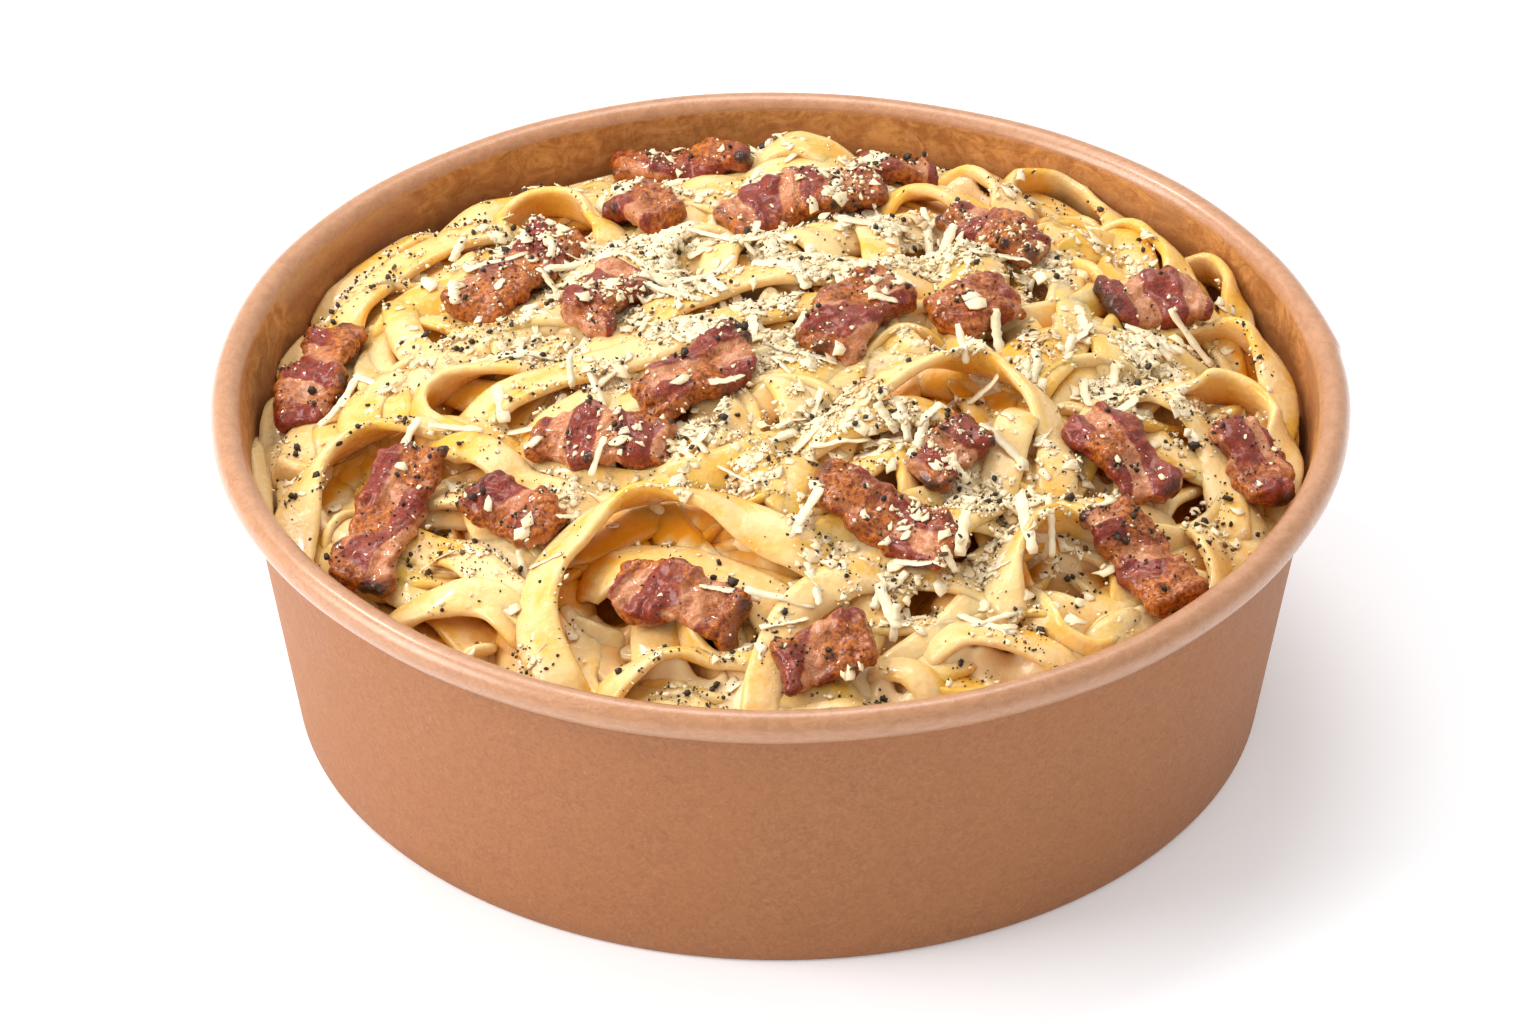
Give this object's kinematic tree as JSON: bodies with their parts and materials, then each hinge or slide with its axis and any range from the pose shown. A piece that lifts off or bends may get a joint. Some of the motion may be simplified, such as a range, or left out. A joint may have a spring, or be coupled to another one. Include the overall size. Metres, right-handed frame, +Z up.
{
  "type": "bowl of pasta carbonara",
  "caption": "Shallow round kraft paper bowl heaped with pasta carbonara: creamy tangled noodles, fried bacon strips, grated hard cheese and cracked pepper.",
  "frame": {"origin": "centre of the foot ring, on the surface the bowl stands on", "axes": "+Z up along the bowl's axis; -Y towards the side seen in front"},
  "size_m": [0.15, 0.15, 0.0569],
  "materials": {
    "kraft_board": "satin",
    "pasta": "moist",
    "bacon": "moist",
    "cream_sauce": "moist",
    "grated_cheese": "matte",
    "black_pepper": "matte"
  },
  "bodies": {
    "root": {"bowl_wall": "kraft_board", "bowl_base": "kraft_board", "pasta": "pasta", "bacon_01": "bacon", "bacon_02": "bacon", "bacon_03": "bacon", "bacon_04": "bacon", "bacon_05": "bacon", "bacon_06": "bacon", "bacon_07": "bacon", "bacon_08": "bacon", "bacon_09": "bacon", "bacon_10": "bacon", "bacon_11": "bacon", "bacon_12": "bacon", "bacon_13": "bacon", "bacon_14": "bacon", "bacon_15": "bacon", "bacon_16": "bacon", "bacon_17": "bacon", "bacon_18": "bacon", "bacon_19": "bacon", "bacon_20": "bacon", "bacon_21": "bacon", "bacon_22": "bacon"}
  },
  "joints": []
}
